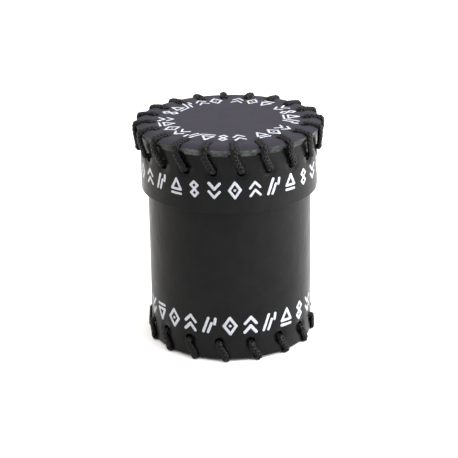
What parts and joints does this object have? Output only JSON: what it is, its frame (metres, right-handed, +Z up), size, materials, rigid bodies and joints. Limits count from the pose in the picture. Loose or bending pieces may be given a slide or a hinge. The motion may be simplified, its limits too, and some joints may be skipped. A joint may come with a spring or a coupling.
{
  "type": "leather dice cup",
  "caption": "Round black leather dice cup with an inset floor disc and a lift-off lid, both discs whip-laced to rolled leather walls with a black waxed cord.",
  "frame": {"origin": "centre of the cup's foot, on the surface that its lacing stands on", "axes": "+Z up along the cup's axis, -Y towards the front, opposite the walls' seams"},
  "size_m": [0.091, 0.091, 0.1094],
  "materials": {
    "wall_leather": "black dyed vegetable-tanned leather, smooth satin grain side outside",
    "disc_leather": "black dyed leather disc, satin grain side, raw grey cut edge",
    "waxed_cord": "black braided waxed cord, flattened, low sheen",
    "seam_thread": "black waxed twisted thread",
    "white_paint": "thin hand-painted white lacquer marks"
  },
  "bodies": {
    "cup": {"cup_wall": "wall_leather", "cup_floor": "disc_leather", "cup_lace": "waxed_cord", "cup_lace_knot": "waxed_cord", "cup_seam_thread": "seam_thread"},
    "lid": {"lid_wall": "wall_leather", "lid_top": "disc_leather", "lid_lace": "waxed_cord", "lid_lace_knot": "waxed_cord", "lid_seam_thread": "seam_thread"}
  },
  "joints": [
    {"name": "lid_lift", "type": "slide", "parent": "cup", "child": "lid", "axis": [0, 0, 1], "range_m": [0, 0.1]}
  ]
}
